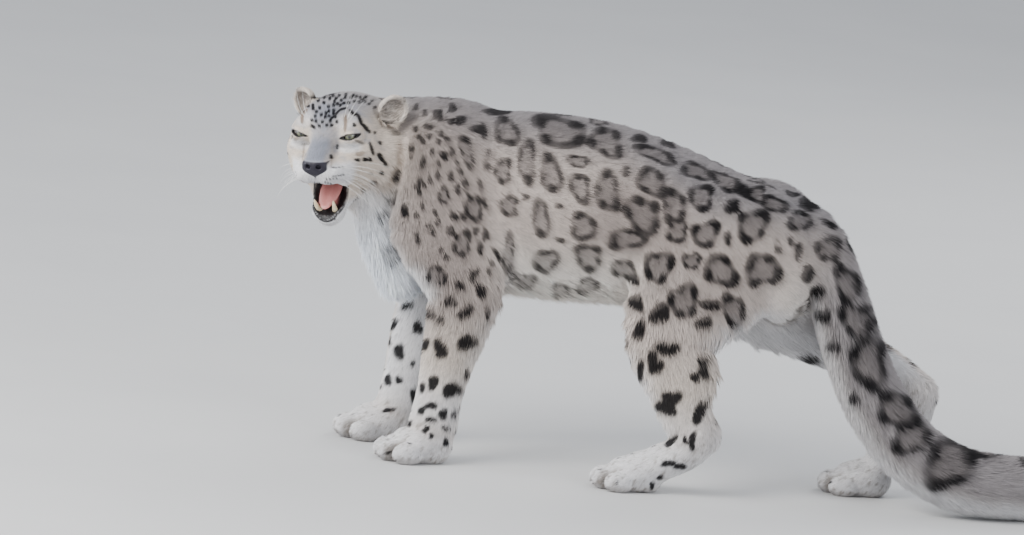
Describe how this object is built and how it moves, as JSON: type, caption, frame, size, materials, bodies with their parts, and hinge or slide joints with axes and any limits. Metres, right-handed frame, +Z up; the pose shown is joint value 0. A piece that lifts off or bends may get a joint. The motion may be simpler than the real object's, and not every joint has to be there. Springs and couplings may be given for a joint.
{
  "type": "snow leopard model",
  "caption": "Life-size still model of a standing snow leopard, its head turned to its left with the mouth open and its long thick tail lying on the floor behind.",
  "frame": {"origin": "on the floor, under the middle of the whole model's box", "axes": "-X the way the body faces, -Y its left side, +Z up; the soles and the tail lie on z = 0"},
  "size_m": [1.3724, 0.4804, 0.5785],
  "materials": {
    "coat": "soft dense fur, pale grey-cream with smoky black rosettes, white beneath",
    "eye": "wet gloss, pale grey-green iris with a dark pupil",
    "tongue": "moist pink",
    "tooth": "smooth ivory, yellowish"
  },
  "bodies": {
    "root": {"trunk": "coat", "neck": "coat", "tail_root": "coat", "tail_middle": "coat", "tail_lower": "coat", "tail_tip": "coat", "foreleg_left": "coat", "forepaw_left": "coat", "foreleg_right": "coat", "forepaw_right": "coat", "hindleg_left": "coat", "hindfoot_left": "coat", "hindleg_right": "coat", "hindfoot_right": "coat", "head": "coat", "jaw": "coat", "tongue": "tongue", "eye_left": "eye", "eye_right": "eye", "ear_left": "coat", "ear_right": "coat"}
  },
  "joints": []
}
